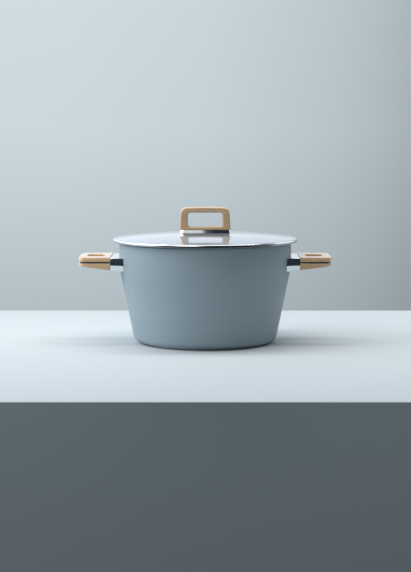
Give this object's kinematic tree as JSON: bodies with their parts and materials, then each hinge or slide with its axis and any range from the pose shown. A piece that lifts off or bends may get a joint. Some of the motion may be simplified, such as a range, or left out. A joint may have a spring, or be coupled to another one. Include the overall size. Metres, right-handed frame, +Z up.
{
  "type": "vacuum cooking pot",
  "caption": "Two-handled casserole with an overhanging sealed lid; lifting the sprung wooden lid handle raises a valve plug that lets air in and breaks the vacuum.",
  "frame": {"origin": "centre of the pot at the level of the surface it stands on", "axes": "+X along the two side handles, +Y to the back, +Z up along the pot's axis"},
  "size_m": [0.3536, 0.26, 0.1907],
  "materials": {
    "coat": "matte",
    "lid_coat": "gloss",
    "base": "satin",
    "chrome": "polished",
    "steel": "satin",
    "wood": "satin",
    "silicone": "matte"
  },
  "bodies": {
    "pot": {"pot_body": "coat", "base_disc": "base", "right_handle_tang": "steel", "right_handle_ferrule": "chrome", "right_grip_upper": "wood", "right_grip_lower": "wood", "right_grip_screw_1": "steel", "right_grip_screw_2": "steel", "right_lug_screw_1": "steel", "right_lug_screw_2": "steel", "left_handle_tang": "steel", "left_handle_ferrule": "chrome", "left_grip_upper": "wood", "left_grip_lower": "wood", "left_grip_screw_1": "steel", "left_grip_screw_2": "steel", "left_lug_screw_1": "steel", "left_lug_screw_2": "steel"},
    "lid": {"lid_panel": "lid_coat", "lid_bead": "chrome", "lid_seal": "silicone", "handle_spring_left": "steel", "handle_spring_right": "steel"},
    "lid_handle": {"lid_handle_tang": "steel", "lid_handle_ferrule": "chrome", "lid_grip_front": "wood", "lid_grip_back": "wood", "lid_grip_screw_left": "steel", "lid_grip_screw_right": "steel", "valve_plug": "silicone", "lid_stud_left": "steel", "lid_stud_right": "steel", "lid_cap_nut_left": "steel", "lid_cap_nut_right": "steel"}
  },
  "joints": [
    {"name": "lid_lift", "type": "slide", "parent": "pot", "child": "lid", "axis": [0, 0, 1], "range_m": [0, 0.12]},
    {"name": "handle_release_lift", "type": "slide", "parent": "lid", "child": "lid_handle", "axis": [0, 0, 1], "range_m": [0, 0.0025], "stiffness_N_per_m": 800, "springref_m": -0.005, "deforming": ["handle_spring_left", "handle_spring_right"]}
  ]
}
